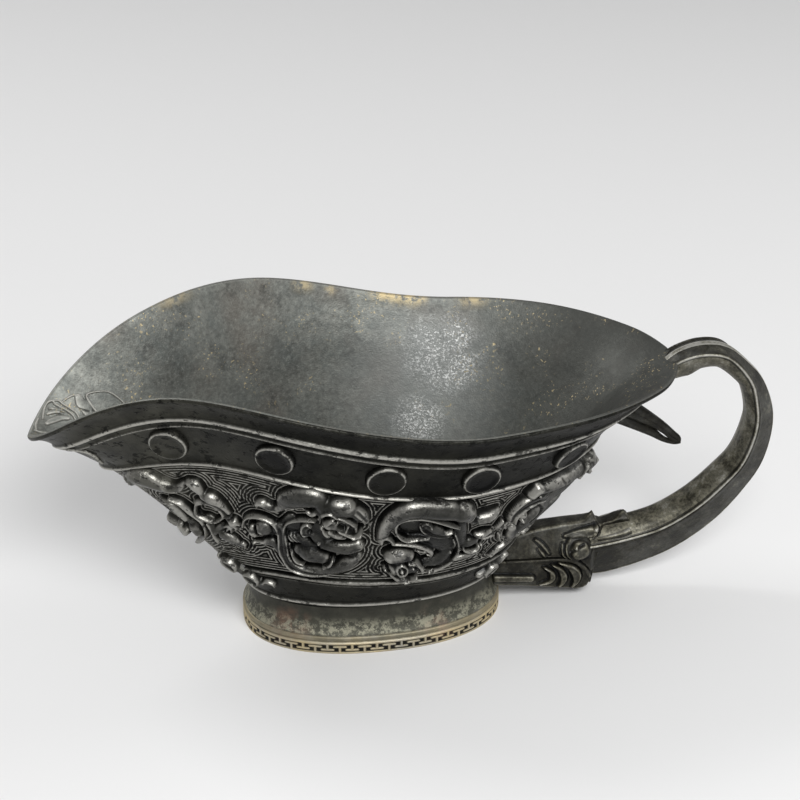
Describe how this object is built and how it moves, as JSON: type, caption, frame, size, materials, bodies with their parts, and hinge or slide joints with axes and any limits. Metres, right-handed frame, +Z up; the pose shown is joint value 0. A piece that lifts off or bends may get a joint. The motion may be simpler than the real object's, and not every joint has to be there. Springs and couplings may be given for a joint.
{
  "type": "bronze wine cup",
  "caption": "Boat-shaped bronze pouring cup with a long spout, oval foot ring, dragon-head loop handle and climbing dragons in high relief.",
  "frame": {"origin": "middle of the box round the cup, on the floor the foot stands on", "axes": "+X along the cup from the spout to the handle, +Z up, -Y the side seen in the picture"},
  "size_m": [0.1799, 0.0744, 0.0774],
  "materials": {
    "body_bronze": "dark patinated bronze, satin, polished on raised lines",
    "relief_bronze": "dark patinated bronze with rubbed bright high spots",
    "handle_bronze": "brown-grey worn bronze, satin",
    "foot_bronze": "green-brown patina with golden rubbed edge"
  },
  "bodies": {
    "root": {"bowl": "body_bronze", "foot_ring": "foot_bronze", "handle": "handle_bronze", "tail_curl": "handle_bronze", "stud_1_front": "relief_bronze", "stud_1_back": "relief_bronze", "stud_2_front": "relief_bronze", "stud_2_back": "relief_bronze", "stud_3_front": "relief_bronze", "stud_3_back": "relief_bronze", "stud_4_front": "relief_bronze", "stud_4_back": "relief_bronze", "stud_5_front": "relief_bronze", "stud_5_back": "relief_bronze", "chilong_spout_front": "relief_bronze", "chilong_spout_back": "relief_bronze", "chilong_shoulder_front": "relief_bronze", "chilong_shoulder_back": "relief_bronze", "chilong_flank_front": "relief_bronze", "chilong_flank_back": "relief_bronze", "chilong_tail_front": "relief_bronze", "chilong_tail_back": "relief_bronze", "chain_spout_front": "relief_bronze", "chain_spout_back": "relief_bronze", "chain_tail_front": "relief_bronze", "chain_tail_back": "relief_bronze"}
  },
  "joints": []
}
